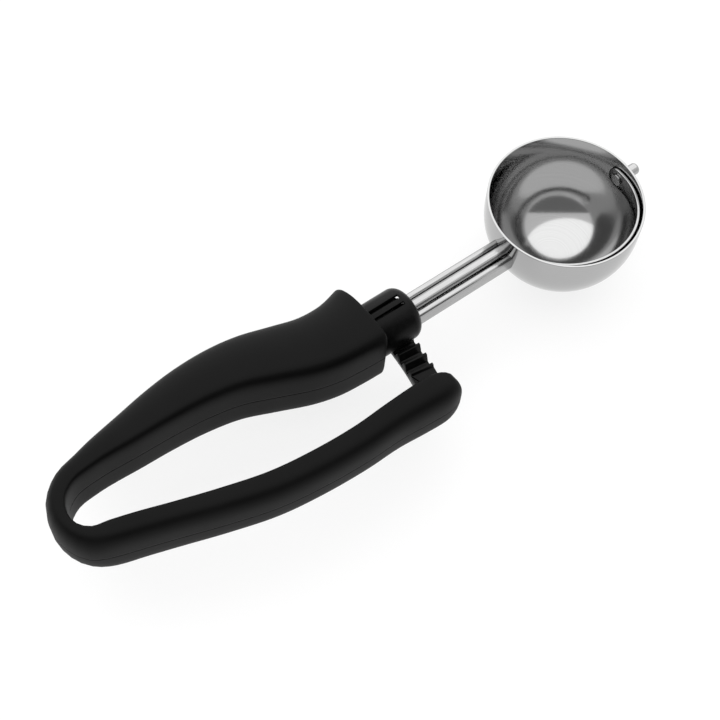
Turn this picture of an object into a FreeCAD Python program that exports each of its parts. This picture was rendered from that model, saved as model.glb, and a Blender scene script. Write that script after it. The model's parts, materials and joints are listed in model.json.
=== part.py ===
import FreeCAD, Part
import math
import os
import Sketcher
from FreeCAD import Placement, Rotation, Vector

# Squeeze-handle ice cream scoop, in millimetres.
# Origin: centre of the bowl's mouth. +Z out of the mouth, +X from the handle to the bowl,
# +Y from the lever to the grip. The blade rod lies along X, one band height under the rim.

doc = FreeCAD.newDocument("scoop")
sizes = doc.addObject("Spreadsheet::Sheet", "sizes")

DRIVING_SIZES = [
    ("bowl_radius", 27.0),
    ("bowl_wall", 0.8),
    ("band_height", 7.6),
    ("rod_radius", 2.0),
    ("rod_front_x", -24.3),
    ("rod_back_x", -100.0),
    ("running_gap", 0.05),
    ("blade_outer_radius", 25.7),
    ("blade_thickness", 0.8),
    ("blade_width", 8.0),
    ("blade_tab_reach", 4.2),
    ("blade_rest_angle", 6.0),
    ("rivet_radius", 1.25),
    ("rivet_head_radius", 2.1),
    ("rivet_inner_x", 24.1),
    ("rivet_head_x", 24.7),
    ("knob_back_x", 26.4),
    ("knob_end_x", 34.0),
    ("knob_round", 1.2),
    ("tab_pin_radius", 1.5),
    ("channel_half_width", 5.0),
    ("channel_above_rod", 0.9),
    ("channel_below_rod", 6.9),
    ("channel_wall", 1.0),
    ("channel_corner", 2.5),
    ("channel_back_x", -67.8),
    ("curl_radius", 1.35),
    ("curl_bore", 0.5),
    ("tang_above", 9.85),
    ("tang_half_width", 3.4),
    ("tang_back_x", -104.0),
    ("tang_rivet_radius", 1.2),
    ("tang_rivet_head_radius", 2.0),
    ("tang_rivet_head_height", 0.9),
    ("tang_rivet_foot", 1.35),
    ("pinion_back_x", -81.5),
    ("pinion_front_x", -69.2),
    ("pinion_teeth", 9),
    ("tooth_pitch", 4.1),
    ("tooth_addendum", 1.4),
    ("tooth_dedendum", 1.65),
    ("tooth_backlash", 0.5),
    ("pinion_dome", 2.6),
    ("hinge_x", -193.0),
    ("rack_mid_radius", 119.2),
    ("rack_width", 8.4),
    ("rack_floor", 2.0),
    ("rack_relief", 1.1),
    ("rack_root_y", -31.0),
    ("rack_tail_x", -93.0),
    ("rack_elbow_x", -78.9),
    ("rack_tail_front_x", -75.6),
    ("rack_tail_y", -34.6),
    ("rack_tail_width", 3.4),
    ("rack_tail_height", 3.9),
    ("rack_tail_below", 7.9),
    ("pinion_pin_x", -74.2),
    ("pinion_pin_radius", 0.8),
    ("pinion_pin_length", 8.0),
    ("rack_pin_radius", 1.1),
    ("rack_pin_length", 11.0),
    ("rack_pin_below", 8.2),
    ("guard_outside", 9.3),
    ("guard_wall", 1.0),
    ("guard_front_x", -66.9),
    ("guard_mouth", 5.6),
    ("guard_ring", 1.1),
    ("guard_ring_bore", 4.1),
    ("bush_back_x", -92.9),
    ("bush_wall", 1.5),
    ("bush_flange_x", -82.9),
    ("bush_flange_rim", 1.9),
    ("washer_back_x", -82.75),
    ("washer_front_x", -81.65),
    ("clip_back_x", -93.95),
    ("clip_front_x", -93.35),
    ("clip_depth", 0.5),
    ("rod_head_rim", 0.9),
    ("rod_head_height", 0.45),
    ("grip_front_x", -83.7),
    ("skin", 2.0),
    ("bow_thickness", 1.0),
    ("bow_height", 14.0),
]
for row, (alias, value) in enumerate(DRIVING_SIZES, start=1):
    sizes.set("A%d" % row, alias)
    sizes.set("B%d" % row, str(value))
    sizes.setAlias("B%d" % row, alias)
doc.recompute()


def size(alias):
    return float(sizes.get(alias))


AXIS_Z = -size("band_height")
NODES = {}


def keep(name, shape_object):
    shape_object.Label = name
    NODES[name] = shape_object
    return shape_object


def bound(obj, **expressions):
    for prop, expression in expressions.items():
        obj.setExpression(prop.replace("__", "."), expression)
    return obj


def round_bar(name, radius, start_x, end_x):
    """A cylinder along the rod's axis between two places on X."""
    bar = doc.addObject("Part::Cylinder", name)
    bar.Placement = Placement(Vector(0, 0, 0), Rotation(Vector(0, 1, 0), 90))
    return bound(
        bar,
        Radius=radius,
        Height="(%s) - (%s)" % (end_x, start_x),
        Placement__Base__x=start_x,
        Placement__Base__z="-sizes.band_height",
    )


def joined(name, *shapes):
    fuse = doc.addObject("Part::MultiFuse", name)
    fuse.Shapes = list(shapes)
    return fuse


def cut_from(name, base, tool):
    cut = doc.addObject("Part::Cut", name)
    cut.Base = base
    cut.Tool = tool
    return cut


def plain(name, shape):
    feature = doc.addObject("Part::Feature", name)
    feature.Shape = shape
    feature.Placement = shape.Placement
    return feature


def origin_plane(body, role):
    for feature in body.Origin.OriginFeatures:
        if feature.Role == role:
            return feature
    raise ValueError(role)


def sketch_in(body, name, role):
    sketch = body.newObject("Sketcher::SketchObject", name)
    sketch.AttachmentSupport = [(origin_plane(body, role), "")]
    sketch.MapMode = "FlatFace"
    return sketch


def hole_in(sketch, height, radius_expression):
    """A round hole in line with the sketch's origin, its radius bound to the sheet."""
    index = sketch.addGeometry(Part.Circle(Vector(0, height, 0), Vector(0, 0, 1), 1.0))
    number = sketch.addConstraint(Sketcher.Constraint("Radius", index, 1.0))
    sketch.addConstraint(Sketcher.Constraint("DistanceX", -1, 1, index, 3, 0))
    sketch.addConstraint(Sketcher.Constraint("DistanceY", -1, 1, index, 3, height))
    sketch.setExpression("Constraints[%d]" % number, radius_expression)


def pocket(body, sketch, name, backwards):
    before = body.Shape.Volume
    cut = body.newObject("PartDesign::Pocket", name)
    cut.Profile = sketch
    cut.Type = 1
    cut.Reversed = backwards
    sketch.Visibility = False
    doc.recompute()
    if body.Shape.Volume >= before - 0.01:
        raise ValueError(name + " cuts nothing")
    return cut


# Bowl: a spun half sphere with a straight band above it, holed on the rod's axis.
def make_bowl():
    body = doc.addObject("PartDesign::Body", "bowl")
    outer = size("bowl_radius")
    inner = outer - size("bowl_wall")
    lip = size("bowl_wall") / 2
    profile = sketch_in(body, "bowl_profile", "XZ_Plane")
    centre = Vector(0, AXIS_Z, 0)
    down = -math.pi / 2
    profile.addGeometry(Part.ArcOfCircle(Part.Circle(centre, Vector(0, 0, 1), outer), down, 0))
    profile.addGeometry(Part.LineSegment(Vector(outer, AXIS_Z, 0), Vector(outer, -lip, 0)))
    profile.addGeometry(
        Part.ArcOfCircle(Part.Circle(Vector(outer - lip, -lip, 0), Vector(0, 0, 1), lip), 0, math.pi)
    )
    profile.addGeometry(Part.LineSegment(Vector(inner, -lip, 0), Vector(inner, AXIS_Z, 0)))
    profile.addGeometry(Part.ArcOfCircle(Part.Circle(centre, Vector(0, 0, 1), inner), down, 0))
    profile.addGeometry(Part.LineSegment(Vector(0, AXIS_Z - inner, 0), Vector(0, AXIS_Z - outer, 0)))
    wall = body.newObject("PartDesign::Revolution", "bowl_wall_spun")
    wall.Profile = profile
    wall.ReferenceAxis = (profile, ["V_Axis"])
    wall.Angle = 360
    profile.Visibility = False
    doc.recompute()
    near = sketch_in(body, "rod_hole", "YZ_Plane")
    hole_in(near, AXIS_Z, "sizes.rod_radius + sizes.running_gap")
    pocket(body, near, "rod_hole_cut", False)
    far = sketch_in(body, "rivet_hole", "YZ_Plane")
    hole_in(far, AXIS_Z, "sizes.rivet_radius")
    pocket(body, far, "rivet_hole_cut", True)
    return keep("bowl", body)


# Blade: a strip bent to a half circle, with a round tab and a hole at each end.
def make_blade():
    body = doc.addObject("PartDesign::Body", "blade")
    outer = size("blade_outer_radius")
    inner = outer - size("blade_thickness")
    reach = size("blade_tab_reach")
    outline = sketch_in(body, "blade_outline", "XY_Plane")
    centre = Vector(0, 0, 0)
    for radius in (outer, inner):
        outline.addGeometry(
            Part.ArcOfCircle(Part.Circle(centre, Vector(0, 0, 1), radius), math.pi, 2 * math.pi)
        )
    for side in (-1, 1):
        outline.addGeometry(Part.LineSegment(Vector(side * outer, 0, 0), Vector(side * outer, reach, 0)))
        outline.addGeometry(Part.LineSegment(Vector(side * inner, 0, 0), Vector(side * inner, reach, 0)))
        outline.addGeometry(Part.LineSegment(Vector(side * outer, reach, 0), Vector(side * inner, reach, 0)))
    strip = body.newObject("PartDesign::Pad", "blade_strip")
    strip.Profile = outline
    strip.Midplane = True
    bound(strip, Length="sizes.blade_width")
    outline.Visibility = False
    doc.recompute()
    corners = []
    half = size("blade_width") / 2
    for number, edge in enumerate(strip.Shape.Edges, start=1):
        middle = edge.CenterOfMass
        if abs(middle.y - reach) < 0.01 and abs(abs(middle.z) - half) < 0.01:
            corners.append("Edge%d" % number)
    rounded = body.newObject("PartDesign::Fillet", "tab_ends")
    rounded.Base = (strip, corners)
    rounded.Radius = half - 0.1
    doc.recompute()
    near = sketch_in(body, "rod_tab_hole", "YZ_Plane")
    hole_in(near, 0, "sizes.tab_pin_radius")
    pocket(body, near, "rod_tab_hole_cut", False)
    far = sketch_in(body, "rivet_tab_hole", "YZ_Plane")
    hole_in(far, 0, "sizes.rivet_radius + sizes.running_gap")
    pocket(body, far, "rivet_tab_hole_cut", True)
    body.Placement = Placement(
        Vector(0, 0, AXIS_Z), Rotation(Vector(1, 0, 0), -size("blade_rest_angle"))
    )
    return keep("blade", body)


# Neck: a steel channel with curled edges; its web steps down under the rack into the grip.
def make_neck():
    body = doc.addObject("PartDesign::Body", "neck_section")
    half = size("channel_half_width")
    wall = size("channel_wall")
    top = AXIS_Z + size("channel_above_rod")
    bottom = AXIS_Z - size("channel_below_rod")
    corner = size("channel_corner")
    curl = size("curl_radius")
    curl_y = half - curl
    curl_z = top - curl
    join_z = curl_z - math.sqrt(curl ** 2 - (curl - wall) ** 2)
    section = sketch_in(body, "channel_section", "YZ_Plane")
    normal = Vector(0, 0, 1)

    def flipped(side, y, z):
        return Vector(side * y, z, 0)

    for side in (-1, 1):
        outer_top = flipped(side, half, curl_z)
        outer_foot = flipped(side, half, bottom + corner)
        inner_top = flipped(side, half - wall, join_z)
        inner_foot = flipped(side, half - wall, bottom + corner)
        section.addGeometry(Part.LineSegment(outer_top, outer_foot))
        section.addGeometry(
            Part.Arc(
                flipped(side, half, bottom + corner),
                flipped(side, half - corner * (1 - math.sqrt(0.5)), bottom + corner * (1 - math.sqrt(0.5))),
                flipped(side, half - corner, bottom),
            )
        )
        small = corner - wall
        small_reach = small * (1 - math.sqrt(0.5))
        section.addGeometry(
            Part.Arc(
                flipped(side, half - wall, bottom + corner),
                flipped(side, half - wall - small_reach, bottom + wall + small_reach),
                flipped(side, half - corner, bottom + wall),
            )
        )
        section.addGeometry(Part.LineSegment(inner_top, inner_foot))
        section.addGeometry(
            Part.Arc(outer_top, flipped(side, curl_y - 0.8 * curl, curl_z + 0.6 * curl), inner_top)
        )
        section.addGeometry(Part.Circle(flipped(side, curl_y, curl_z), normal, size("curl_bore")))
    for z in (bottom, bottom + wall):
        section.addGeometry(Part.LineSegment(Vector(corner - half, z, 0), Vector(half - corner, z, 0)))
    pad = body.newObject("PartDesign::Pad", "channel_length")
    pad.Profile = section
    pad.Reversed = True
    bound(pad, Length="-sizes.channel_back_x")
    section.Visibility = False
    doc.recompute()
    bowl_room = BOWL_ROOM
    channel = cut_from("channel_to_bowl", body, bowl_room)
    web_top = AXIS_Z - size("tang_above")
    back = size("channel_back_x")
    step_start = Vector(back - wall, -half, web_top - wall)
    step = Part.makeBox(wall, 2 * half, bottom + wall - web_top + wall, step_start)
    narrow = size("tang_half_width")
    tang_back = size("tang_back_x")
    floor_start = Vector(tang_back, -narrow, web_top - wall)
    floor = Part.makeBox(back - wall - tang_back, 2 * narrow, wall, floor_start)
    toe = Part.makeBox(3 * wall, 2 * (half - corner), wall, Vector(back - wall, corner - half, bottom))
    tang = plain("tang", step.fuse([floor, toe]).removeSplitter())
    return keep("neck_channel", joined("neck_channel", channel, tang))


# Far pivot: a rivet through the bowl's wall, with a round knob outside and a small head inside.
def make_pivot_rivet():
    shank = round_bar("rivet_shank", "sizes.rivet_radius", "sizes.rivet_inner_x", "sizes.knob_back_x + 2")
    head = round_bar("rivet_head", "sizes.rivet_head_radius", "sizes.rivet_inner_x", "sizes.rivet_head_x")
    knob = round_bar("rivet_knob", "sizes.rivet_head_radius", "sizes.knob_back_x", "sizes.knob_end_x")
    knob_edge = doc.addObject("Part::Fillet", "rivet_knob_round")
    knob_edge.Base = knob
    doc.recompute()
    end_x = size("knob_end_x")
    front = [n for n, edge in enumerate(knob.Shape.Edges, 1) if edge.CenterOfMass.x > end_x - 0.1]
    knob_edge.Edges = [(front[0], size("knob_round"), size("knob_round"))]
    outside = cut_from("rivet_knob_on_wall", knob_edge, BOWL_ROOM)
    return keep("pivot_rivet", joined("pivot_rivet", shank, head, outside))


# Blade rod: riveted to the blade's near tab, with a clip groove near its back end.
def make_blade_rod():
    shoulder = "-sizes.blade_outer_radius"
    shank = round_bar("rod_shank", "sizes.rod_radius", "sizes.rod_back_x", shoulder)
    pin = round_bar("rod_tab_pin", "sizes.tab_pin_radius", shoulder, "sizes.rod_front_x")
    head = round_bar(
        "rod_head",
        "sizes.tab_pin_radius + sizes.rod_head_rim",
        "sizes.rod_front_x - sizes.rod_head_height",
        "sizes.rod_front_x",
    )
    whole = joined("rod_whole", shank, pin, head)
    sides = ("sizes.clip_back_x - sizes.running_gap", "sizes.clip_front_x + sizes.running_gap")
    groove_outer = round_bar("clip_groove_outer", "sizes.rod_radius + 1", *sides)
    groove_inner = round_bar("clip_groove_inner", "sizes.rod_radius - sizes.clip_depth", *sides)
    groove = cut_from("clip_groove", groove_outer, groove_inner)
    grooved = cut_from("rod_grooved", whole, groove)
    return keep("blade_rod", cut_from("blade_rod", grooved, PINION_PIN))


def make_rod_clip():
    disc = round_bar("clip_disc", "sizes.rod_radius + 1.3", "sizes.clip_back_x", "sizes.clip_front_x")
    bore = round_bar(
        "clip_bore",
        "sizes.rod_radius - sizes.clip_depth",
        "sizes.clip_back_x - sizes.running_gap",
        "sizes.clip_front_x + sizes.running_gap",
    )
    mouth = doc.addObject("Part::Box", "clip_mouth")
    bound(
        mouth,
        Length="sizes.clip_front_x - sizes.clip_back_x + 2 * sizes.running_gap",
        Width="2 * sizes.rod_radius - 1.4",
        Height="sizes.rod_radius + 2",
        Placement__Base__x="sizes.clip_back_x - sizes.running_gap",
        Placement__Base__y="0.7 - sizes.rod_radius",
        Placement__Base__z="-sizes.band_height - sizes.rod_radius - 2",
    )
    return keep("rod_clip", cut_from("rod_clip", disc, joined("clip_inside", bore, mouth)))


def make_rod_bush():
    body = round_bar(
        "bush_body", "sizes.rod_radius + sizes.bush_wall", "sizes.bush_back_x", "sizes.grip_front_x"
    )
    rim = "sizes.rod_radius + sizes.bush_flange_rim"
    flange = round_bar("bush_flange", rim, "sizes.grip_front_x", "sizes.bush_flange_x")
    bore = round_bar(
        "bush_bore",
        "sizes.rod_radius + sizes.running_gap",
        "sizes.bush_back_x - 1",
        "sizes.bush_flange_x + 1",
    )
    return keep("rod_bush", cut_from("rod_bush", joined("bush_whole", body, flange), bore))


def make_thrust_washer():
    disc = round_bar(
        "washer_disc", "sizes.rod_radius + 2", "sizes.washer_back_x", "sizes.washer_front_x"
    )
    bore = round_bar(
        "washer_bore",
        "sizes.rod_radius + sizes.running_gap",
        "sizes.washer_back_x - 1",
        "sizes.washer_front_x + 1",
    )
    return keep("thrust_washer", cut_from("thrust_washer", disc, bore))


# Pinion: spur teeth with involute flanks, its front end domed, pinned across the rod.
def pinion_outline():
    teeth = int(size("pinion_teeth"))
    pitch_radius = teeth * size("tooth_pitch") / (2 * math.pi)
    base = pitch_radius * math.cos(math.radians(20))
    tip = pitch_radius + size("tooth_addendum")
    root = pitch_radius - size("tooth_dedendum")
    half_angle = (size("tooth_pitch") - size("tooth_backlash")) / (4 * pitch_radius)
    spread = math.tan(math.radians(20)) - math.radians(20)

    def flank_angle(radius):
        lean = math.acos(min(1.0, base / radius))
        return half_angle + spread - (math.tan(lean) - lean)

    radii = [base + (tip - base) * k / 4.0 for k in range(5)]
    points = []
    for tooth in range(teeth):
        middle = -math.pi / 2 + tooth * 2 * math.pi / teeth
        left = [(root, flank_angle(base) - 0.06)] + [(r, flank_angle(r)) for r in radii]
        for radius, angle in left:
            points.append((radius, middle - angle))
        for radius, angle in reversed(left):
            points.append((radius, middle + angle))
    return [Vector(0, r * math.cos(a), r * math.sin(a)) for r, a in points]


def make_pinion():
    back = size("pinion_back_x")
    length = size("pinion_front_x") - back
    points = pinion_outline()
    gear = Part.Face(Part.makePolygon(points + points[:1])).extrude(Vector(length, 0, 0))
    tip = size("pinion_teeth") * size("tooth_pitch") / (2 * math.pi) + size("tooth_addendum")
    envelope = Part.makeCylinder(tip + 0.01, length, Vector(0, 0, 0), Vector(1, 0, 0))
    front = [edge for edge in envelope.Edges if edge.CenterOfMass.x > length - 0.01]
    gear = gear.common(envelope.makeFillet(size("pinion_dome"), front[:1]))
    gear.translate(Vector(back, 0, AXIS_Z))
    bore = round_bar("pinion_bore", "sizes.rod_radius", "sizes.pinion_back_x - 1", "sizes.pinion_front_x + 1")
    toothed = plain("pinion_toothed", gear)
    bored = cut_from("pinion_bored", toothed, bore)
    return keep("pinion", cut_from("pinion", bored, PINION_PIN))


def make_pinion_pin():
    pin = doc.addObject("Part::Cylinder", "pinion_pin")
    bound(
        pin,
        Radius="sizes.pinion_pin_radius",
        Height="sizes.pinion_pin_length",
        Placement__Base__x="sizes.pinion_pin_x",
        Placement__Base__z="-sizes.band_height - sizes.pinion_pin_length / 2",
    )
    return keep("pinion_pin", pin)


# Rack: teeth that point at the hinge, on a curved bar, with a tail inside the lever.
def make_rack():
    centre = Vector(size("hinge_x"), 0, 0)
    middle = size("rack_mid_radius")
    half = size("rack_width") / 2
    pitch = size("tooth_pitch")
    pitch_z = AXIS_Z - size("pinion_teeth") * pitch / (2 * math.pi)
    crest_z = pitch_z + size("tooth_addendum") - 0.1
    root_z = pitch_z - size("tooth_dedendum") - 0.05
    floor_z = root_z - size("rack_floor")

    def sector(low, high, from_y, to_y):
        start = math.degrees(math.asin(from_y / middle))
        turn = math.degrees(math.asin(to_y / middle)) - start
        ring = Part.makeCylinder(middle + half, high - low, centre, Vector(0, 0, 1), turn)
        ring = ring.cut(Part.makeCylinder(middle - half, high - low, centre))
        ring.rotate(centre, Vector(0, 0, 1), start)
        ring.translate(Vector(0, 0, low))
        return ring

    slope = math.tan(math.radians(20))
    thick = (pitch - size("tooth_backlash")) / 2
    crest_half = thick / 2 - slope * (crest_z - pitch_z)
    root_half = thick / 2 + slope * (pitch_z - root_z)
    tooth_sides = [
        Vector(middle - half, -root_half, root_z - 0.2),
        Vector(middle - half, -root_half, root_z),
        Vector(middle - half, -crest_half, crest_z),
        Vector(middle - half, crest_half, crest_z),
        Vector(middle - half, root_half, root_z),
        Vector(middle - half, root_half, root_z - 0.2),
    ]
    blank = Part.Face(Part.makePolygon(tooth_sides + tooth_sides[:1])).extrude(Vector(2 * half, 0, 0))
    reach = Part.makeCylinder(middle + half, 20, Vector(0, 0, floor_z))
    reach = reach.cut(Part.makeCylinder(middle - half, 20, Vector(0, 0, floor_z)))
    blank = blank.common(reach)
    pieces = []
    for count in range(6):
        place_y = pitch / 2 - count * pitch
        tooth = blank.copy()
        tooth.rotate(Vector(0, 0, 0), Vector(0, 0, 1), math.degrees(place_y / middle))
        tooth.translate(centre)
        pieces.append(tooth)
    root_y = size("rack_root_y")
    pieces.append(sector(root_z - 0.2, crest_z - size("rack_relief"), root_y, place_y))
    tail_low = AXIS_Z - size("rack_tail_below")
    tail_y = size("rack_tail_y")
    high = size("rack_tail_height")
    front_x = size("rack_tail_front_x")
    tail_start = Vector(size("rack_tail_x"), tail_y, tail_low)
    tail = Part.makeBox(front_x - size("rack_tail_x"), size("rack_tail_width"), high, tail_start)
    elbow_start = Vector(size("rack_elbow_x"), tail_y, tail_low)
    elbow = Part.makeBox(front_x - size("rack_elbow_x"), root_y + 0.6 - tail_y, high, elbow_start)
    bar = sector(floor_z, root_z, root_y, pitch)
    rack = bar.fuse(pieces + [tail, elbow])
    return plain("rack_solid", rack)


# Two pins lock the rack's tail into the lever's core.
RACK_PIN_PLACES = (-84.5, -90.0)


def make_rack_pins():
    pins = []
    for number, x in enumerate(RACK_PIN_PLACES, 1):
        pin = doc.addObject("Part::Cylinder", "rack_pin_%d" % number)
        pin.Placement = Placement(Vector(x, 0, 0), Rotation())
        bound(
            pin,
            Radius="sizes.rack_pin_radius",
            Height="sizes.rack_pin_length",
            Placement__Base__y="sizes.rack_tail_y + sizes.rack_tail_width / 2",
            Placement__Base__z="-sizes.band_height - sizes.rack_pin_below",
        )
        pins.append(pin)
    return keep("rack_pins", joined("rack_pins", *pins))


# Guard: a domed shroud over the pinion, slotted along its top, on a ring against the grip's front.
# Turns are measured about the rod from +Y towards +Z.
GUARD_START = 10
GUARD_END = 203
GUARD_SLOTS = ((73, 83), (94, 101))


def make_pinion_guard():
    back = size("grip_front_x")
    outside = size("guard_outside")
    wall = size("guard_wall")
    front = size("guard_front_x")
    mouth = size("guard_mouth")
    bend = outside - mouth
    half_turn = math.sqrt(0.5)

    def arc(radius):
        return Part.Arc(
            Vector(front - bend, mouth + radius, 0),
            Vector(front - bend + radius * half_turn, mouth + radius * half_turn, 0),
            Vector(front - bend + radius, mouth, 0),
        )

    inside = outside - wall
    edges = [
        Part.LineSegment(Vector(back, outside, 0), Vector(front - bend, outside, 0)),
        arc(bend),
        Part.LineSegment(Vector(front, mouth, 0), Vector(front - wall, mouth, 0)),
        arc(bend - wall),
        Part.LineSegment(Vector(front - bend, inside, 0), Vector(back, inside, 0)),
        Part.LineSegment(Vector(back, inside, 0), Vector(back, outside, 0)),
    ]
    section = Part.Face(Part.Wire([edge.toShape() for edge in edges]))
    axis = Vector(1, 0, 0)
    shell = section.revolve(Vector(0, 0, 0), axis, GUARD_END - GUARD_START)
    shell.rotate(Vector(0, 0, 0), axis, GUARD_START)
    ring = Part.makeCylinder(outside, size("guard_ring"), Vector(back, 0, 0), axis)
    hole = Part.makeCylinder(size("guard_ring_bore"), size("guard_ring"), Vector(back, 0, 0), axis)
    slot_start = back + size("guard_ring")
    slot_length = front - bend - slot_start
    for first, last in GUARD_SLOTS:
        slot = Part.makeCylinder(outside + 1, slot_length, Vector(slot_start, 0, 0), axis, last - first)
        slot.rotate(Vector(0, 0, 0), axis, first - 90)
        shell = shell.cut(slot)
    guard = shell.fuse(ring.cut(hole)).removeSplitter()
    guard.translate(Vector(0, 0, AXIS_Z))
    return keep("pinion_guard", plain("pinion_guard", guard))


GRIP_STATIONS = [
    (-83.7, -10.3, 90, 28.9, 13.3),
    (-92.0, -9.9, 90, 26.9, 13.4),
    (-101.0, -9.0, 90, 26.2, 13.4),
    (-110.0, -6.3, 90, 26.1, 13.2),
    (-121.0, -1.8, 90, 24.8, 13.0),
    (-132.0, 2.6, 90, 21.8, 12.7),
    (-144.0, 4.9, 90, 19.4, 12.3),
    (-156.0, 5.9, 90, 16.9, 11.9),
    (-168.0, 6.3, 92, 13.9, 11.5),
    (-178.0, 6.4, 97, 10.9, 11.2),
]
BEND_STATIONS = [
    (-178.0, 6.4, 97, 10.9, 11.2),
    (-184.0, 6.3, 101, 9.2, 11.0),
    (-190.0, 5.0, 115, 7.8, 10.8),
    (-194.3, 1.8, 143, 6.6, 10.6),
    (-196.2, -2.2, 175, 5.7, 10.5),
    (-195.8, -6.0, 200, 5.6, 10.5),
    (-193.4, -9.2, 226, 6.0, 10.4),
    (-189.0, -11.5, 246, 6.4, 10.3),
    (-180.5, -14.4, 251, 6.7, 10.2),
]
LEVER_STATIONS = [
    (-180.5, -14.4, 251, 6.7, 10.2),
    (-170.0, -17.9, 252, 7.0, 10.1),
    (-156.0, -22.3, 254, 7.3, 10.0),
    (-141.0, -26.2, 260, 7.6, 9.9),
    (-126.0, -28.1, 267, 7.8, 9.8),
    (-111.0, -28.8, 271, 8.0, 9.8),
    (-98.0, -28.6, 273, 8.6, 10.0),
    (-88.0, -28.4, 274, 9.6, 10.4),
    (-80.5, -28.6, 275, 9.8, 10.3),
    (-75.8, -29.4, 275, 8.4, 9.4),
    (-73.0, -30.8, 275, 5.8, 7.4),
    (-71.9, -32.2, 275, 3.0, 4.4),
]


# Sections of the loop: how round each stretch is outside, and all of it is inside.
GRIP_ROUNDNESS = 2.3
BEND_ROUNDNESS = 2.6
LEVER_ROUNDNESS = 2.8
INSIDE_ROUNDNESS = 3.0
SHOULDER_SHARE = 0.36
SECTION_STEPS = 24
# Free room in the grip's core beyond the rod's end, and round the rod behind the bush.
ROD_END_ROOM = 6.7
ROD_SIDE_ROOM = 1.8


def loop_section(station, inset, roundness):
    x, y, degrees, thickness, half_height = station
    out = Vector(math.cos(math.radians(degrees)), math.sin(math.radians(degrees)), 0)
    inner = inset
    outer = thickness - inset
    high = half_height - inset
    shoulder = inner + SHOULDER_SHARE * (outer - inner)
    points = []
    for step in range(SECTION_STEPS):
        turn = 2 * math.pi * (step + 0.5) / SECTION_STEPS
        across = math.cos(turn)
        up = math.sin(turn)
        reach = (outer - shoulder) if across > 0 else (shoulder - inner)
        power = 2 / roundness if across > 0 else 2 / INSIDE_ROUNDNESS
        u = shoulder + math.copysign(abs(across) ** power, across) * reach
        v = math.copysign(abs(up) ** power, up) * high
        points.append(Vector(x, y, AXIS_Z) + out * u + Vector(0, 0, v))
    curve = Part.BSplineCurve()
    curve.interpolate(Points=points, PeriodicFlag=True)
    return Part.Wire(curve.toShape())


def loop_solid(stations, inset, roundness):
    solid = Part.makeLoft([loop_section(s, inset, roundness) for s in stations], True, False)
    return solid if solid.Volume > 0 else solid.reversed()


def middle_line(station, side):
    x, y, degrees, thickness, _ = station
    out = Vector(math.cos(math.radians(degrees)), math.sin(math.radians(degrees)), 0)
    return Vector(x, y, 0) + out * (thickness / 2 + side)


def make_loop():
    skin = size("skin")
    half = size("bow_thickness") / 2
    high = size("bow_height")
    stations = GRIP_STATIONS[-2:-1] + BEND_STATIONS + LEVER_STATIONS[1:3]
    sides = []
    for side in (half, -half):
        curve = Part.BSplineCurve()
        curve.interpolate(Points=[middle_line(s, side) for s in stations])
        sides.append(curve.toShape())
    ends = [
        Part.makeLine(middle_line(stations[k], half), middle_line(stations[k], -half)) for k in (0, -1)
    ]
    bow = Part.Face(Part.Wire([sides[0], ends[1], sides[1], ends[0]])).extrude(Vector(0, 0, high))
    bow.translate(Vector(0, 0, AXIS_Z - high / 2))
    keep("spring_bow", plain("spring_bow", bow))

    front = size("grip_front_x")
    bush_back = size("bush_back_x")
    along = Vector(1, 0, 0)
    bush_start = Vector(bush_back, 0, AXIS_Z)
    bush_radius = size("rod_radius") + size("bush_wall")
    bush_seat = Part.makeCylinder(bush_radius, front - bush_back, bush_start, along)
    rod_end = size("rod_back_x") - ROD_END_ROOM
    rod_start = Vector(rod_end, 0, AXIS_Z)
    rod_room = Part.makeCylinder(size("rod_radius") + ROD_SIDE_ROOM, bush_back - rod_end, rod_start, along)
    tang = NODES["neck_channel"].Shape
    rivets = NODES["tang_rivets"].Shape
    grip_core = loop_solid(GRIP_STATIONS, skin, GRIP_ROUNDNESS)
    grip = loop_solid(GRIP_STATIONS, 0, GRIP_ROUNDNESS).cut([grip_core, tang])
    grip_core = grip_core.cut([bow, bush_seat, rod_room, tang, rivets])
    keep("grip_core", plain("grip_core", grip_core))
    keep("grip_cover", plain("grip_cover", grip.cut(bow)))
    bend = loop_solid(BEND_STATIONS, 0, BEND_ROUNDNESS).cut(bow)
    keep("butt_cover", plain("butt_cover", bend))
    rack = RACK.Shape
    pins = NODES["rack_pins"].Shape
    lever_core = loop_solid(LEVER_STATIONS[1:10], 0.9 * skin, LEVER_ROUNDNESS)
    lever = loop_solid(LEVER_STATIONS, 0, LEVER_ROUNDNESS).cut([lever_core, bow, rack])
    keep("lever_core", plain("lever_core", lever_core.cut([bow, rack, pins])))
    keep("lever_cover", plain("lever_cover", lever))
    keep("rack", plain("rack", rack.cut(pins)))


# Two rivets lock the neck's tang into the grip's core.
TANG_RIVET_PLACES = (-90.0, -99.0)


def make_tang_rivets():
    parts = []
    shank_foot = "-sizes.band_height - sizes.tang_above - sizes.tang_rivet_foot"
    head_foot = "-sizes.band_height - sizes.tang_above"
    shank_height = "sizes.tang_rivet_foot + sizes.tang_rivet_head_height - 0.05"
    for number, x in enumerate(TANG_RIVET_PLACES, 1):
        for name, radius, tall, foot in (
            ("shank", "sizes.tang_rivet_radius", shank_height, shank_foot),
            ("head", "sizes.tang_rivet_head_radius", "sizes.tang_rivet_head_height", head_foot),
        ):
            part = doc.addObject("Part::Cylinder", "tang_rivet_%s_%d" % (name, number))
            part.Placement = Placement(Vector(x, 0, 0), Rotation())
            bound(part, Radius=radius, Height=tall, Placement__Base__z=foot)
            parts.append(part)
    return keep("tang_rivets", joined("tang_rivets", *parts))


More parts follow.
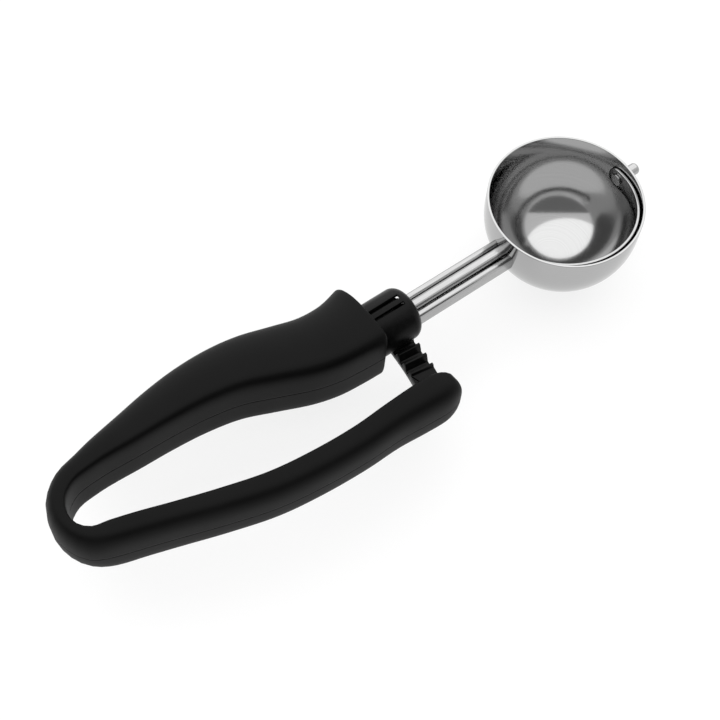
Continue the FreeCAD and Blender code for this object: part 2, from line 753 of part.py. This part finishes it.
ball = doc.addObject("Part::Sphere", "bowl_ball")
bound(ball, Radius="sizes.bowl_radius", Placement__Base__z="-sizes.band_height")
band = doc.addObject("Part::Cylinder", "bowl_band")
bound(band, Radius="sizes.bowl_radius", Height="2 * sizes.band_height")
bound(band, Placement__Base__z="-sizes.band_height")
BOWL_ROOM = joined("bowl_room", ball, band)

make_bowl()
make_pivot_rivet()
make_blade()
PINION_PIN = make_pinion_pin()
make_blade_rod()
make_rod_clip()
make_rod_bush()
make_thrust_washer()
make_pinion()
make_pinion_guard()
neck = make_neck()
make_tang_rivets()
doc.recompute()
neck_holed = cut_from("neck_channel_holed", neck, NODES["tang_rivets"])
neck.Label = "neck_whole"
keep("neck_channel", neck_holed)
RACK = make_rack()
make_rack_pins()
doc.recompute()
make_loop()
doc.recompute()

for obj in doc.Objects:
    if "Invalid" in obj.State or "Error" in obj.State:
        raise ValueError("%s failed: %s" % (obj.Label, obj.State))
os.makedirs("parts", exist_ok=True)
for name, node in NODES.items():
    shape = node.Shape
    if shape.isNull() or not shape.isValid():
        raise ValueError(name + " has no valid shape")
    print("%-16s solids %d  volume %.1f mm3" % (name, len(shape.Solids), shape.Volume))
for name, node in NODES.items():
    node.Shape.exportStep("parts/%s.step" % name)
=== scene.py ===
import json
import math

import bmesh
import bpy
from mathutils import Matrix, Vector

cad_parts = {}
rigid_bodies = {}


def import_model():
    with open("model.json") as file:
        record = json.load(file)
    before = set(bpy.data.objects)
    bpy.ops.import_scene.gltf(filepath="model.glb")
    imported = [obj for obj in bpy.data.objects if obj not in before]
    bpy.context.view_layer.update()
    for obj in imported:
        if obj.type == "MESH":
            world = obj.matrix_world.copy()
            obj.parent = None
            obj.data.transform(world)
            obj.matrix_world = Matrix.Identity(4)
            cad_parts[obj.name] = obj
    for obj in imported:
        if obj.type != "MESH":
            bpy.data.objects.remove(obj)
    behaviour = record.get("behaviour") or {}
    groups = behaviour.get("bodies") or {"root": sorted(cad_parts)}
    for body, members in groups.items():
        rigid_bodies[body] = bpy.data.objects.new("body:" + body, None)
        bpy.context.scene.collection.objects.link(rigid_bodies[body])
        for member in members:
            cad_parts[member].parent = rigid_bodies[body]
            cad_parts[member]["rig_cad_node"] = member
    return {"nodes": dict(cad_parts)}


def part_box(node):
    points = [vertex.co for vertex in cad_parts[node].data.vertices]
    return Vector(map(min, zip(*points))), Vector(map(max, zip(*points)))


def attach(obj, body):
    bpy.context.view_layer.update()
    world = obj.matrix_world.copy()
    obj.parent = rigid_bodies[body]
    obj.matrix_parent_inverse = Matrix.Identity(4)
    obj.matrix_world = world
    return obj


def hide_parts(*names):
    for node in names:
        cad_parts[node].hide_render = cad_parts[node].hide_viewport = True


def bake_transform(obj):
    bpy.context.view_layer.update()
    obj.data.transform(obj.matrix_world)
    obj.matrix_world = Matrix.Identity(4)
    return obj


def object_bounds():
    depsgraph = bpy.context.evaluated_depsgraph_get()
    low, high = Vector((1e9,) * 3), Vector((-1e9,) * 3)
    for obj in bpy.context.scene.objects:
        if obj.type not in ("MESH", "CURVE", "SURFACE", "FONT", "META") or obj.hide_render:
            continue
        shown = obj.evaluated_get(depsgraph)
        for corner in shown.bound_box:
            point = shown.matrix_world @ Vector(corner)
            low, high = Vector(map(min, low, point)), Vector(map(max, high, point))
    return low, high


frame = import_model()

cad_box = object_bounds()

# The photograph's view. A long lens looks steeply down on the scoop from the lever's side of the butt,
# about 60 degrees above the table, with the butt at the left and the bowl at the upper right.
mm = 0.001
camera_place = Vector((-263.3, -195.4, 442.0)) * mm
camera_angles = (29.461, -3.054, -36.839)
focal_length = 80.24
farthest_seen = 10
camera = bpy.data.objects.new("camera", bpy.data.cameras.new("camera"))
bpy.context.scene.collection.objects.link(camera)
camera.location = camera_place
camera.rotation_euler = [math.radians(angle) for angle in camera_angles]
camera.data.lens = focal_length
camera.data.clip_end = farthest_seen
bpy.context.scene.camera = camera
bpy.context.scene.view_settings.view_transform = "Standard"


# The table. A sheet of white card that the scoop lies on, a few metres across and level.
# The camera and the steel see it as white, and it keeps the scoop's faint shadow.
class Value:
    """A number that changes over a surface, so that finishes can be written as sums."""

    def __init__(self, finish, socket):
        self.finish = finish
        self.socket = socket

    def maths(self, operation, left, right):
        return self.finish.node("ShaderNodeMath", {"operation": operation}, {0: left, 1: right})

    def __add__(self, other):
        return self.maths("ADD", self, other)

    def __sub__(self, other):
        return self.maths("SUBTRACT", self, other)

    def __rsub__(self, other):
        return self.maths("SUBTRACT", other, self)

    def __mul__(self, other):
        return self.maths("MULTIPLY", self, other)

    __radd__ = __add__
    __rmul__ = __mul__


class Finish:
    """One material. Its constants go on the shader, and all its other nodes come from node()."""

    def __init__(self, name, **constants):
        self.material = bpy.data.materials.new(name)
        self.material.use_nodes = True
        self.tree = self.material.node_tree
        self.shader = self.tree.nodes["Principled BSDF"]
        self.shows(**constants)

    def node(self, kind, settings=None, sockets=None, output=0):
        made = self.tree.nodes.new(kind)
        for name, value in (settings or {}).items():
            if name == "stops":
                for stop, (place, colour) in zip(made.color_ramp.elements, value):
                    stop.position = place
                    stop.color = colour
            else:
                setattr(made, name, value)
        for name, value in (sockets or {}).items():
            self.feed(made.inputs[name], value)
        return Value(self, made.outputs[output])

    def feed(self, socket, value):
        if isinstance(value, Value):
            self.tree.links.new(value.socket, socket)
        else:
            socket.default_value = value

    def shows(self, **sockets):
        for name, value in sockets.items():
            self.feed(self.shader.inputs[name.replace("_", " ")], value)

    def place(self):
        return self.node("ShaderNodeTexCoord", output="Object")

    def stretched(self, vector, scale):
        return self.node("ShaderNodeMapping", sockets={"Vector": vector, "Scale": scale})

    def noise(self, vector, scale, detail):
        return self.node(
            "ShaderNodeTexNoise", sockets={"Vector": vector, "Scale": scale, "Detail": detail}
        )

    def between(self, value, dark, light, low=0.3, high=0.7):
        """A colour that goes from dark to light as the value goes from low to high."""
        dark, light = [
            colour if isinstance(colour, tuple) else (colour, colour, colour, 1)
            for colour in (dark, light)
        ]
        stops = ((low, dark), (high, light))
        return self.node("ShaderNodeValToRGB", {"stops": stops}, {"Fac": value})

    def bump(self, height, depth, strength):
        return self.node(
            "ShaderNodeBump", sockets={"Height": height, "Distance": depth, "Strength": strength}
        )


table_width = 6.0
white = (1, 1, 1, 1)
card_white = 0.9
card_glow = 1.06
glow_share = 0.72
bpy.ops.mesh.primitive_plane_add(size=table_width, location=(0, 0, cad_box[0].z))
table_top = bpy.context.object
table_top.name = "table_top"
card = Finish("white_card", Base_Color=(card_white, card_white, card_white, 1), Roughness=0.9)
rays = card.node("ShaderNodeLightPath").socket.node.outputs
seen = Value(card, rays["Is Camera Ray"])
for ray in ("Is Glossy Ray", "Is Transmission Ray"):
    seen = seen.maths("MAXIMUM", seen, Value(card, rays[ray]))
glow = card.node("ShaderNodeEmission", sockets={"Color": white, "Strength": card_glow})
card_mix = card.node("ShaderNodeMixShader", sockets={0: seen * glow_share}).socket
card.tree.links.new(card.shader.outputs[0], card_mix.node.inputs[1])
card.tree.links.new(glow.socket, card_mix.node.inputs[2])
card.tree.links.new(card_mix, card.tree.nodes["Material Output"].inputs["Surface"])
table_top.data.materials.append(card.material)

# The room. A bare white studio, which lights the surfaces with plain grey light from all round.
# It is white where the camera or the steel looks past the table.
room_light = 0.55
world = bpy.data.worlds.new("studio")
bpy.context.scene.world = world
world.use_nodes = True
nodes = world.node_tree.nodes
links = world.node_tree.links
plain_light = nodes["Background"]
plain_light.inputs["Color"].default_value = white
plain_light.inputs["Strength"].default_value = room_light
white_room = nodes.new("ShaderNodeBackground")
white_room.inputs["Color"].default_value = white
room_rays = nodes.new("ShaderNodeLightPath").outputs
room_seen = room_rays["Is Camera Ray"]
for ray in ("Is Glossy Ray", "Is Transmission Ray"):
    either = nodes.new("ShaderNodeMath")
    either.operation = "MAXIMUM"
    links.new(room_seen, either.inputs[0])
    links.new(room_rays[ray], either.inputs[1])
    room_seen = either.outputs[0]
room_mix = nodes.new("ShaderNodeMixShader")
links.new(room_seen, room_mix.inputs[0])
links.new(plain_light.outputs[0], room_mix.inputs[1])
links.new(white_room.outputs[0], room_mix.inputs[2])
links.new(room_mix.outputs[0], nodes["World Output"].inputs["Surface"])


# The lamps. A very broad round softbox over the far side, whose mirror image is the soft white disc
# in the bowl, and a small one low on the left that lifts the handle and doesn't show in the steel.
def softbox(name, place, aim, width, watts):
    lamp = bpy.data.objects.new(name, bpy.data.lights.new(name, "AREA"))
    bpy.context.scene.collection.objects.link(lamp)
    lamp.location = place
    lamp.rotation_euler = (Vector(aim) - Vector(place)).to_track_quat("-Z", "Y").to_euler()
    lamp.data.shape = "DISK"
    lamp.data.size = width
    lamp.data.energy = watts
    return lamp


softbox("key_light", place=(0.12, 0.5, 0.95), aim=(-0.05, 0, 0), width=2.9, watts=20)
side_light = softbox("side_light", place=(-0.75, -0.35, 0.5), aim=(-0.1, 0, 0), width=0.4, watts=2)
side_light.visible_glossy = False

# The grey card. It stands on edge behind the camera, and only gloss sees it, so that polished steel
# has something darker to mirror on the near side.
card_away = 0.6
card_turn = math.radians(-125)
card_height = 0.85
card_width = 2.6
card_grey = 0.2
upright = math.radians(90)
card_middle = (math.cos(card_turn) * card_away, math.sin(card_turn) * card_away, card_height / 2)
bpy.ops.mesh.primitive_plane_add(
    size=1, location=card_middle, rotation=(upright, 0, card_turn + upright)
)
grey_card = bpy.context.object
grey_card.name = "grey_card"
grey_card.scale = (card_width, card_height, 1)
plain_grey = Finish("plain_grey", Roughness=0.9, Base_Color=(0, 0, 0, 1))
plain_grey.shows(Emission_Color=(card_grey, card_grey, card_grey, 1), Emission_Strength=1.0)
grey_card.data.materials.append(plain_grey.material)
grey_card.visible_camera = False
grey_card.visible_diffuse = False
grey_card.visible_shadow = False
grey_card.visible_transmission = False


# Bowl. The cup of a number 20 scoop, 54 mm across: half a ball with a short straight band above it.
# Stainless sheet 0.8 mm thick, spun over a former, polished, with its rim rounded over.
def select_only(piece):
    bpy.ops.object.select_all(action="DESELECT")
    piece.select_set(True)
    bpy.context.view_layer.objects.active = piece


def new_piece(name):
    piece = bpy.context.object
    piece.name = name
    piece.data.name = name
    select_only(piece)
    bpy.ops.object.transform_apply(location=True, rotation=True, scale=True)
    return piece


def add_modifier(piece, kind, **settings):
    modifier = piece.modifiers.new(kind.lower(), kind)
    for name, value in settings.items():
        setattr(modifier, name, value)
    bpy.ops.object.modifier_apply(modifier=modifier.name)


def smooth(piece, degrees):
    select_only(piece)
    bpy.ops.object.shade_smooth_by_angle(angle=math.radians(degrees))


def fitted(piece, body, finish, replaced):
    piece.data.materials.clear()
    piece.data.materials.append(finish.material)
    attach(piece, body)
    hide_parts(replaced)


bowl_low, bowl_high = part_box("bowl")
bowl_radius = (bowl_high.x - bowl_low.x) / 2
centre_height = bowl_low.z + bowl_radius
band_height = bowl_high.z - centre_height
bowl_wall = 0.8 * mm
rim_round = 0.2 * mm
rim_corner = 40
bpy.ops.mesh.primitive_uv_sphere_add(
    segments=160, ring_count=80, radius=bowl_radius, location=(0, 0, centre_height)
)
bowl = new_piece("spun_bowl")
bpy.ops.object.mode_set(mode="EDIT")
bpy.ops.mesh.select_all(action="SELECT")
bpy.ops.mesh.bisect(plane_co=(0, 0, centre_height), plane_no=(0, 0, 1), clear_outer=True)
bpy.ops.mesh.extrude_region_move(TRANSFORM_OT_translate={"value": (0, 0, band_height)})
bpy.ops.mesh.select_all(action="SELECT")
bpy.ops.mesh.remove_doubles(threshold=0.001 * mm)
bpy.ops.mesh.normals_make_consistent(inside=False)
bpy.ops.object.mode_set(mode="OBJECT")
add_modifier(bowl, "SOLIDIFY", thickness=bowl_wall, offset=-1, use_even_offset=True)
add_modifier(
    bowl,
    "BEVEL",
    width=rim_round,
    segments=3,
    limit_method="ANGLE",
    angle_limit=math.radians(rim_corner),
)
smooth(bowl, rim_corner)

spun_steel = Finish("spun_steel", Metallic=1.0)
spot = spun_steel.place()
from_centre = spun_steel.node("ShaderNodeVectorMath", {"operation": "SUBTRACT"}, {
    0: spot, 1: (0, 0, centre_height),
})
split = spun_steel.node("ShaderNodeSeparateXYZ", sockets={0: from_centre}).socket.node.outputs
aside = spun_steel.node("ShaderNodeCombineXYZ", sockets={
    "X": Value(spun_steel, split["X"]), "Y": Value(spun_steel, split["Y"]),
})
reach = spun_steel.node("ShaderNodeVectorMath", {"operation": "LENGTH"}, {0: aside}, output="Value")
slant = reach.maths("ARCTAN2", reach, 0 - Value(spun_steel, split["Z"]))
lathe_lines = spun_steel.node(
    "ShaderNodeTexNoise", {"noise_dimensions": "1D"}, {"W": slant, "Scale": 60, "Detail": 5}
)
smears = spun_steel.noise(spot, scale=90, detail=4)
spun_steel.shows(
    Base_Color=spun_steel.between(lathe_lines, dark=0.41, light=0.44),
    Roughness=0.08 + 0.05 * smears + 0.03 * lathe_lines,
    Normal=spun_steel.bump(lathe_lines, depth=0.02 * mm, strength=0.04),
)
fitted(bowl, "frame", spun_steel, "bowl")


# Blade. The strip that sweeps the ice cream off the bowl's inside, with a round tab at each pivot.
# Stainless strip 0.8 mm thick, blanked and rolled to the bowl's curve, its edges rubbed smooth.
def softened(node, name, edge_round):
    """A merged copy of a CAD node, with its sharp edges rounded."""
    weld_gap = 0.002 * mm
    flat_within = math.radians(0.4)
    corner = 32
    piece = frame["nodes"][node].copy()
    piece.data = piece.data.copy()
    piece.name = name
    piece.data.name = name
    del piece["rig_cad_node"]
    piece.parent = None
    bpy.context.scene.collection.objects.link(piece)
    select_only(piece)
    bpy.ops.mesh.customdata_custom_splitnormals_clear()
    bpy.ops.object.mode_set(mode="EDIT")
    bpy.ops.mesh.select_all(action="SELECT")
    bpy.ops.mesh.remove_doubles(threshold=weld_gap)
    bpy.ops.mesh.dissolve_limited(angle_limit=flat_within)
    bpy.ops.mesh.normals_make_consistent(inside=False)
    bpy.ops.object.mode_set(mode="OBJECT")
    add_modifier(
        piece,
        "BEVEL",
        width=edge_round,
        segments=2,
        limit_method="ANGLE",
        angle_limit=math.radians(corner),
        use_clamp_overlap=False,
    )
    smooth(piece, corner)
    return piece


rolled_steel = Finish("rolled_steel", Metallic=1.0)
spot = rolled_steel.place()
grain = rolled_steel.noise(rolled_steel.stretched(spot, scale=(60, 900, 900)), scale=3, detail=4)
rolled_steel.shows(
    Base_Color=rolled_steel.between(grain, dark=0.35, light=0.42),
    Roughness=0.14 + 0.1 * grain,
    Normal=rolled_steel.bump(grain, depth=0.02 * mm, strength=0.2),
)
blade = softened("blade", "sweep_blade", edge_round=0.15 * mm)
fitted(blade, "sweep", rolled_steel, "blade")


# Pivot rivet. The far pin that the blade's tab turns on, with a knob outside the bowl.
# Turned from stainless bar, put through the bowl's wall and headed over inside the tab.
def finished(node, finish):
    piece = frame["nodes"][node]
    piece.data.materials.clear()
    piece.data.materials.append(finish.material)


finished("pivot_rivet", rolled_steel)

# Neck. An open channel from the bowl into the grip, with both its upper edges curled over.
# Pressed from one strip of stainless, 1 mm thick, welded to the bowl and riveted into the grip.
neck = softened("neck_channel", "pressed_neck", edge_round=0.12 * mm)
fitted(neck, "frame", rolled_steel, "neck_channel")
finished("tang_rivets", rolled_steel)

# Rod. It lies in the neck and carries the blade's near tab at one end and the pinion at the other.
# Drawn stainless, 4 mm thick, its end riveted over in the tab.
finished("blade_rod", rolled_steel)

# Pinion. Nine straight teeth that the rack turns, just in front of the grip.
# Moulded in black acetal, a little shinier than the grips, and pinned on the rod.
satin_acetal = Finish("satin_acetal", Specular_IOR_Level=0.1)
spot = satin_acetal.place()
flow = satin_acetal.noise(spot, scale=700, detail=3)
satin_acetal.shows(
    Base_Color=satin_acetal.between(flow, dark=0.0022, light=0.0035),
    Roughness=0.24 + 0.12 * flow,
    Normal=satin_acetal.bump(flow, depth=0.02 * mm, strength=0.15),
)
pinion = softened("pinion", "drive_pinion", edge_round=0.12 * mm)
fitted(pinion, "sweep", satin_acetal, "pinion")

# Rack. A curved bar of six teeth and a plain block, which passes under the pinion as the lever closes.
# Moulded in the pinion's acetal, its tail pinned into the lever's tip.
rack = softened("rack", "curved_rack", edge_round=0.12 * mm)
fitted(rack, "lever", satin_acetal, "rack")

# Shroud. The domed cap over the pinion, slotted along its top and open below, where the rack passes.
# The same black acetal, held on the front of the grip.
shroud = softened("pinion_guard", "pinion_shroud", edge_round=0.15 * mm)
fitted(shroud, "frame", satin_acetal, "pinion_guard")

# Loop. The grip, the thin bend that flexes and the squeeze lever, in one skin of black elastomer,
# soft to the touch and moulded over nylon cores. A fine parting line runs round it at mid height,
# and it ends in a blunt tip under the rack.
inside_roundness = 5.5
shoulder_share = 0.3
ring_gap = 2.0
quarter_points = 15
parting_half = 0.14
parting_lip = 0.5
parting_depth = 0.12
# Each station is a point of the inside face, in mm, then the outward angle in degrees, the thickness,
# half the height, and how square the outside is.
loop_stations = [
    (-83.7, -10.3, 90, 28.6, 13.3, 2.3),
    (-92.0, -9.9, 90, 26.1, 13.4, 2.3),
    (-101.0, -9.0, 90, 25.4, 13.4, 2.3),
    (-110.0, -6.7, 90, 25.7, 13.2, 2.3),
    (-121.0, -2.2, 90, 24.4, 13.0, 2.3),
    (-132.0, 2.2, 90, 21.4, 12.7, 2.3),
    (-144.0, 4.5, 90, 19.0, 12.3, 2.3),
    (-156.0, 5.5, 90, 16.5, 11.9, 2.3),
    (-168.0, 5.9, 92, 13.5, 11.5, 2.35),
    (-178.0, 6.4, 97, 10.7, 11.2, 2.45),
    (-184.0, 6.3, 101, 9.0, 11.0, 2.55),
    (-190.3, 5.5, 115, 8.0, 10.8, 2.6),
    (-195.1, 2.4, 143, 7.0, 10.6, 2.6),
    (-197.2, -2.1, 175, 6.1, 10.5, 2.6),
    (-196.7, -6.3, 200, 6.0, 10.5, 2.6),
    (-193.6, -9.4, 226, 7.3, 10.4, 2.6),
    (-188.7, -10.8, 246, 8.1, 11.1, 3.4),
    (-180.1, -13.3, 251, 8.3, 11.0, 3.4),
    (-169.6, -16.8, 252, 8.2, 10.9, 3.4),
    (-155.7, -21.1, 254, 8.5, 10.8, 3.4),
    (-140.8, -25.0, 260, 8.8, 10.7, 3.4),
    (-125.9, -26.9, 267, 9.0, 10.6, 3.4),
    (-111.0, -27.6, 271, 9.2, 10.6, 3.4),
    (-98.1, -27.1, 273, 9.6, 10.8, 3.4),
    (-88.1, -26.9, 274, 10.6, 11.2, 3.4),
    (-80.6, -27.1, 275, 10.8, 11.1, 3.4),
    (-77.1, -27.9, 275, 9.4, 10.2, 3.4),
    (-74.3, -29.3, 275, 6.8, 8.2, 3.4),
    (-73.2, -30.7, 275, 4.0, 5.2, 3.4),
]


def drawn_stations():
    """More stations on a smooth line through the given ones, about a ring gap apart."""
    drawn = []
    final = len(loop_stations) - 1
    for index in range(final):
        before = loop_stations[max(index - 1, 0)]
        start = loop_stations[index]
        end = loop_stations[index + 1]
        after = loop_stations[min(index + 2, final)]
        span = math.dist(start[:2], end[:2])
        behind = math.dist(before[:2], start[:2])
        ahead = math.dist(end[:2], after[:2])
        count = max(2, round(span / ring_gap))
        for step in range(count):
            share = step / count
            square, cube = share**2, share**3
            station = []
            for past, here, there, beyond in zip(before, start, end, after):
                leave = (there - past) * span / (span + behind)
                arrive = (beyond - here) * span / (span + ahead)
                station.append(
                    (2 * cube - 3 * square + 1) * here
                    + (cube - 2 * square + share) * leave
                    + (3 * square - 2 * cube) * there
                    + (cube - square) * arrive
                )
            drawn.append(station)
    drawn.append(loop_stations[final])
    return drawn


def loop_ring(station):
    """The outline of the moulding at one station, with the parting line sunk into both faces."""
    x, y, degrees, thickness, half_height, roundness = station
    out = Vector((math.cos(math.radians(degrees)), math.sin(math.radians(degrees)), 0))
    shoulder = shoulder_share * thickness
    outline = []
    for side, roundness_here in ((1, roundness), (-1, inside_roundness)):
        reach = thickness - shoulder if side > 0 else shoulder
        face = shoulder + side * reach
        sunk = face - side * parting_depth
        half = [(shoulder, -half_height)]
        for step in range(1, 2 * quarter_points):
            if step == quarter_points:
                half += [
                    (face, -parting_lip),
                    (face, -parting_half),
                    (sunk, 0.0),
                    (face, parting_half),
                    (face, parting_lip),
                ]
                continue
            turn = math.pi * step / (2 * quarter_points) - math.pi / 2
            across = math.cos(turn) ** (2 / roundness_here)
            up = math.copysign(abs(math.sin(turn)) ** (2 / roundness_here), math.sin(turn))
            half.append((shoulder + side * reach * across, up * half_height))
        outline += [(u, side * v) for u, v in half]
    return [
        (Vector((x, y, 0)) + out * u + Vector((0, 0, v))) * mm + Vector((0, 0, centre_height))
        for u, v in outline
    ]


rings = [loop_ring(station) for station in drawn_stations()]
bpy.ops.mesh.primitive_circle_add(vertices=len(rings[0]), radius=10 * mm)
loop = new_piece("soft_loop")
bpy.ops.object.mode_set(mode="EDIT")
bpy.ops.mesh.select_mode(type="VERT")
bpy.ops.mesh.select_all(action="SELECT")
mesh = bmesh.from_edit_mesh(loop.data)
places = {}
for index, vertex in enumerate(mesh.verts):
    vertex.co = rings[0][index]
    places[tuple(vertex.co)] = index
for ring in rings[1:]:
    bpy.ops.mesh.extrude_region()
    mesh = bmesh.from_edit_mesh(loop.data)
    moved = {}
    for vertex in [vertex for vertex in mesh.verts if vertex.select]:
        index = places[tuple(vertex.co)]
        vertex.co = ring[index]
        moved[tuple(vertex.co)] = index
    places = moved
bmesh.update_edit_mesh(loop.data)
bpy.ops.mesh.edge_face_add()

front_round = 1.0 * mm
front_face = loop_stations[0][0] * mm
front_within = 0.001 * mm
grip_side = -12 * mm
bpy.ops.mesh.select_mode(type="EDGE")
bpy.ops.mesh.select_all(action="DESELECT")
mesh = bmesh.from_edit_mesh(loop.data)
for edge in mesh.edges:
    edge.select_set(all(
        abs(vertex.co.x - front_face) < front_within and vertex.co.y > grip_side
        for vertex in edge.verts
    ))
mesh.select_flush_mode()
bmesh.update_edit_mesh(loop.data)
bpy.ops.mesh.edge_face_add()
bpy.ops.mesh.bevel(offset=front_round, segments=4, affect="EDGES")
bpy.ops.mesh.select_all(action="SELECT")
bpy.ops.mesh.normals_make_consistent(inside=False)
bpy.ops.object.mode_set(mode="OBJECT")
smooth(loop, 50)

soft_touch = Finish("soft_touch", Specular_IOR_Level=0.08)
spot = soft_touch.place()
grain = soft_touch.noise(spot, scale=2600, detail=2)
handling = soft_touch.noise(spot, scale=55, detail=4)
soft_touch.shows(
    Base_Color=soft_touch.between(handling, dark=0.0025, light=0.004, high=0.75),
    Roughness=0.42 + 0.1 * handling + 0.06 * grain,
    Normal=soft_touch.bump(grain, depth=0.03 * mm, strength=0.5),
)
loop.data.materials.append(soft_touch.material)
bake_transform(loop)
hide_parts("grip_cover", "butt_cover", "lever_cover")

# Cores. The stiff mouldings inside the grip and the lever, which hold the tang, the bow and the rack.
# Black nylon, put into the mould before the soft skin.
nylon = Finish("core_nylon")
spot = nylon.place()
flow = nylon.noise(spot, scale=400, detail=3)
nylon.shows(
    Base_Color=nylon.between(flow, dark=0.02, light=0.03),
    Roughness=0.4 + 0.15 * flow,
)
finished("grip_core", nylon)
finished("lever_core", nylon)

# Bow. One strip of spring steel, 1 mm thick, bent round the butt with an end in each core.
# It carries the lever and opens it again, and bends with the skin over it.
spring_steel = Finish("spring_steel", Metallic=1.0)
spot = spring_steel.place()
rolled = spring_steel.noise(spring_steel.stretched(spot, scale=(200, 200, 3000)), scale=2, detail=3)
spring_steel.shows(
    Base_Color=spring_steel.between(rolled, dark=0.26, light=0.34),
    Roughness=0.26 + 0.12 * rolled,
)
bow = softened("spring_bow", "bent_bow", edge_round=0.08 * mm)
bow.data.materials.clear()
bow.data.materials.append(spring_steel.material)
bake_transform(bow)
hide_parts("spring_bow")

# Pins and clip. The pin through the pinion and the rod, two pins through the rack's tail,
# and the clip in the rod's groove. All are cut from spring steel wire or sheet.
for small_part in ("pinion_pin", "rack_pins", "rod_clip"):
    finished(small_part, spring_steel)

# Bush. The plain bearing that the rod turns in, with a flange at its front.
# Sintered bronze, pressed into the grip's core.
bronze = Finish("sintered_bronze", Metallic=1.0)
spot = bronze.place()
pores = bronze.noise(spot, scale=1800, detail=2)
dark_bronze = (0.3, 0.17, 0.06, 1)
light_bronze = (0.5, 0.32, 0.13, 1)
bronze.shows(
    Base_Color=bronze.between(pores, dark=dark_bronze, light=light_bronze, low=0.4, high=0.6),
    Roughness=0.35 + 0.2 * pores,
    Normal=bronze.bump(pores, depth=0.02 * mm, strength=0.4),
)
finished("rod_bush", bronze)

# Thrust washer. A flat ring on the rod, which keeps the pinion from rubbing on the bush.
# Punched from white low-friction plastic.
white_plastic = Finish("white_plastic")
spot = white_plastic.place()
cloud = white_plastic.noise(spot, scale=300, detail=2)
white_plastic.shows(
    Base_Color=white_plastic.between(cloud, dark=0.68, light=0.74),
    Roughness=0.35 + 0.1 * cloud,
)
finished("thrust_washer", white_plastic)
